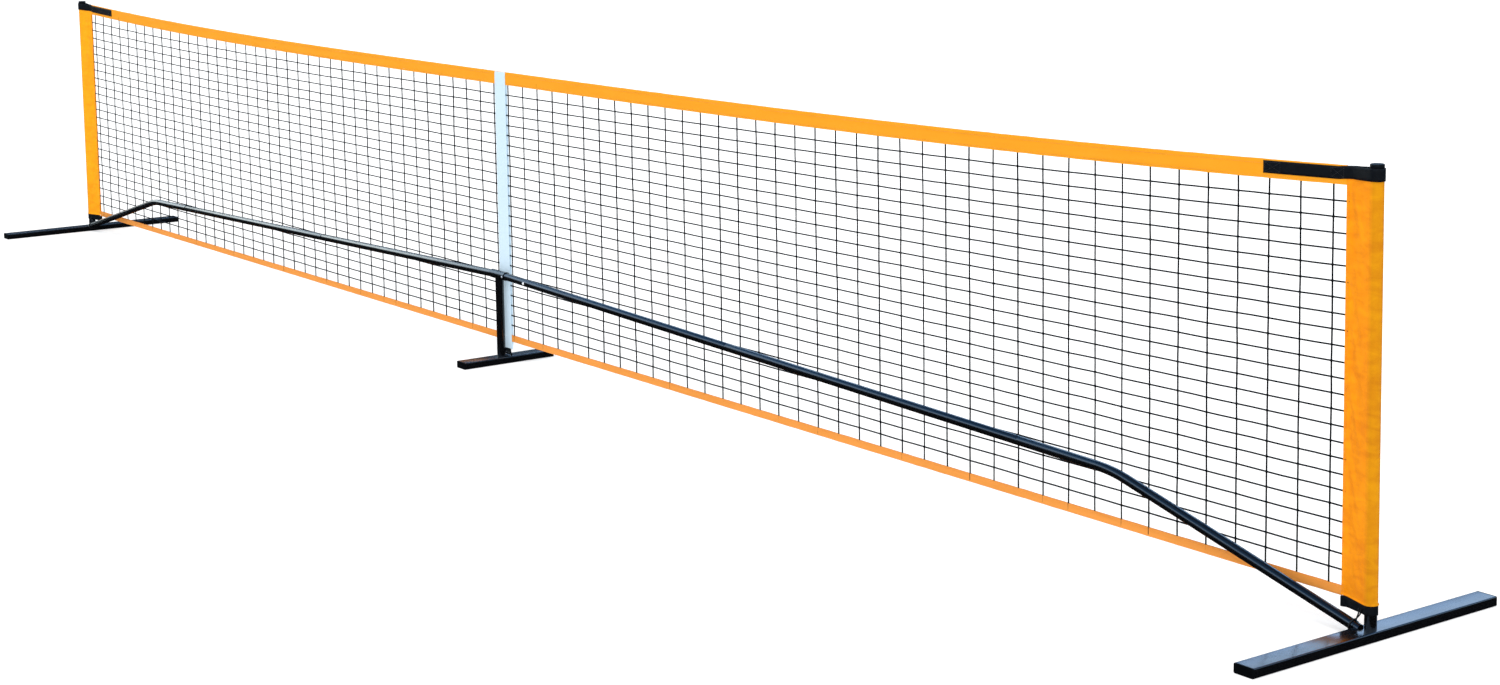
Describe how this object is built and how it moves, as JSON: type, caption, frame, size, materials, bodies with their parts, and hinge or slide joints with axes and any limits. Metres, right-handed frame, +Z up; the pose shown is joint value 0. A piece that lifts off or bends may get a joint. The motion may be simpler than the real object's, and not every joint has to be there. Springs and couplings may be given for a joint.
{
  "type": "portable court net",
  "caption": "Portable court net with a bound mesh, sleeved end posts and a low tube frame on flat feet, with a centre strap and snap-button joints.",
  "frame": {"origin": "on the floor, midway between the end posts and on the line through their axes", "axes": "+X along the net towards the right-hand post, +Y to the back of the net (the low rails are in front of it), +Z up"},
  "size_m": [6.714, 0.7, 0.922],
  "materials": {
    "frame_paint": "gloss black powder coat",
    "black_plastic": "matt moulded",
    "clip_steel": "bright plated spring steel",
    "rivet_steel": "plain",
    "mesh_cord": "knotless cord",
    "orange_cloth": "coated woven cloth",
    "black_webbing": "woven webbing",
    "pale_webbing": "woven webbing",
    "tie_cord": "round elastic cord"
  },
  "bodies": {
    "frame": {"end_foot_left": "frame_paint", "end_foot_right": "frame_paint", "foot_plugs_left": "black_plastic", "foot_plugs_right": "black_plastic", "center_foot": "frame_paint", "foot_plugs_center": "black_plastic", "post_left": "frame_paint", "post_right": "frame_paint", "post_cap_left": "black_plastic", "post_cap_right": "black_plastic", "center_tee": "frame_paint", "tee_rivets": "rivet_steel", "rail_inner_left": "frame_paint", "rail_inner_right": "frame_paint", "rail_outer_left": "frame_paint", "rail_outer_right": "frame_paint", "corner_tube_left": "frame_paint", "corner_tube_right": "frame_paint", "net_mesh": "mesh_cord", "top_tape": "orange_cloth", "bottom_tape": "orange_cloth", "side_sleeve_left": "orange_cloth", "side_sleeve_right": "orange_cloth", "tension_strap_left": "black_webbing", "tension_strap_right": "black_webbing", "lower_strap_left": "black_webbing", "lower_strap_right": "black_webbing", "center_strap": "pale_webbing", "strap_tab": "black_webbing", "tie_cord_left": "tie_cord", "tie_cord_right": "tie_cord"},
    "left_tee_button": {"snap_tee_left": "clip_steel"},
    "right_tee_button": {"snap_tee_right": "clip_steel"},
    "left_rail_button": {"snap_rail_left": "clip_steel"},
    "right_rail_button": {"snap_rail_right": "clip_steel"},
    "left_corner_button": {"snap_corner_left": "clip_steel"},
    "right_corner_button": {"snap_corner_right": "clip_steel"},
    "left_foot_button": {"snap_foot_left": "clip_steel"},
    "right_foot_button": {"snap_foot_right": "clip_steel"},
    "left_post_button": {"snap_post_left": "clip_steel"},
    "right_post_button": {"snap_post_right": "clip_steel"},
    "centre_post_button": {"snap_center_post": "clip_steel"}
  },
  "joints": [
    {"name": "press_left_tee_button", "type": "slide", "parent": "frame", "child": "left_tee_button", "axis": [0, -1, 0], "range_m": [0, 0.004], "stiffness_N_per_m": 1500},
    {"name": "press_right_tee_button", "type": "slide", "parent": "frame", "child": "right_tee_button", "axis": [0, 1, 0], "range_m": [0, 0.004], "stiffness_N_per_m": 1500},
    {"name": "press_left_rail_button", "type": "slide", "parent": "frame", "child": "left_rail_button", "axis": [0, -1, 0], "range_m": [0, 0.004], "stiffness_N_per_m": 1500},
    {"name": "press_right_rail_button", "type": "slide", "parent": "frame", "child": "right_rail_button", "axis": [0, -1, 0], "range_m": [0, 0.004], "stiffness_N_per_m": 1500},
    {"name": "press_left_corner_button", "type": "slide", "parent": "frame", "child": "left_corner_button", "axis": [0, -1, 0], "range_m": [0, 0.004], "stiffness_N_per_m": 1500},
    {"name": "press_right_corner_button", "type": "slide", "parent": "frame", "child": "right_corner_button", "axis": [0, -1, 0], "range_m": [0, 0.004], "stiffness_N_per_m": 1500},
    {"name": "press_left_foot_button", "type": "slide", "parent": "frame", "child": "left_foot_button", "axis": [0, -1, 0], "range_m": [0, 0.004], "stiffness_N_per_m": 1500},
    {"name": "press_right_foot_button", "type": "slide", "parent": "frame", "child": "right_foot_button", "axis": [0, -1, 0], "range_m": [0, 0.004], "stiffness_N_per_m": 1500},
    {"name": "press_left_post_button", "type": "slide", "parent": "frame", "child": "left_post_button", "axis": [0, -1, 0], "range_m": [0, 0.004], "stiffness_N_per_m": 1500},
    {"name": "press_right_post_button", "type": "slide", "parent": "frame", "child": "right_post_button", "axis": [0, -1, 0], "range_m": [0, 0.004], "stiffness_N_per_m": 1500},
    {"name": "press_centre_post_button", "type": "slide", "parent": "frame", "child": "centre_post_button", "axis": [0, -1, 0], "range_m": [0, 0.004], "stiffness_N_per_m": 1500}
  ]
}
